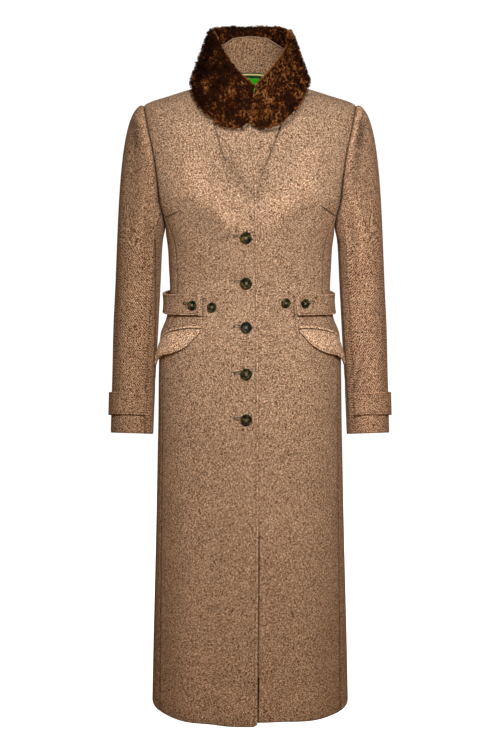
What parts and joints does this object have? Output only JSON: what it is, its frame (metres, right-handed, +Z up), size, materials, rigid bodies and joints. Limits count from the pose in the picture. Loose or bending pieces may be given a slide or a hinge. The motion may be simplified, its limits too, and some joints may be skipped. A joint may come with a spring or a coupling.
{
  "type": "women's loden coat",
  "caption": "Long fitted loden coat with a fur collar, buttoned front, slanted flap pockets, half belt and cuff straps, standing hollow as worn.",
  "frame": {"origin": "between the shoulders, in the middle of the neck opening at the level of the side of the neck, where the wearer carries the coat", "axes": "+Z up along the coat's length, -Y out of its front, +X towards the wearer's left"},
  "size_m": [0.5594, 0.3204, 1.3501],
  "materials": {
    "loden": "brown melange felted wool cloth",
    "fur": "dense curly dark-brown fur pile",
    "lining": "smooth bright green lining satin",
    "tape": "matte woven tape",
    "horn": "satin dark horn look"
  },
  "bodies": {
    "root": {"front_right": "loden", "front_left": "loden", "back_right": "loden", "back_left": "loden", "side_right": "loden", "side_left": "loden", "sleeve_top_right": "loden", "sleeve_under_right": "loden", "sleeve_top_left": "loden", "sleeve_under_left": "loden", "half_belt": "loden", "pocket_flap_right": "loden", "pocket_welt_right": "loden", "pocket_flap_left": "loden", "pocket_welt_left": "loden", "cuff_strap_right": "loden", "cuff_strap_left": "loden", "collar_stand": "loden", "fur_collar": "fur", "neck_tape": "tape", "neck_lining": "lining", "button_front_1": "horn", "button_front_2": "horn", "button_front_3": "horn", "button_front_4": "horn", "button_front_5": "horn", "button_tab_right": "horn", "button_waist_right": "horn", "button_waist_left": "horn", "button_tab_left": "horn", "button_cuff_right": "horn", "button_cuff_left": "horn"}
  },
  "joints": []
}
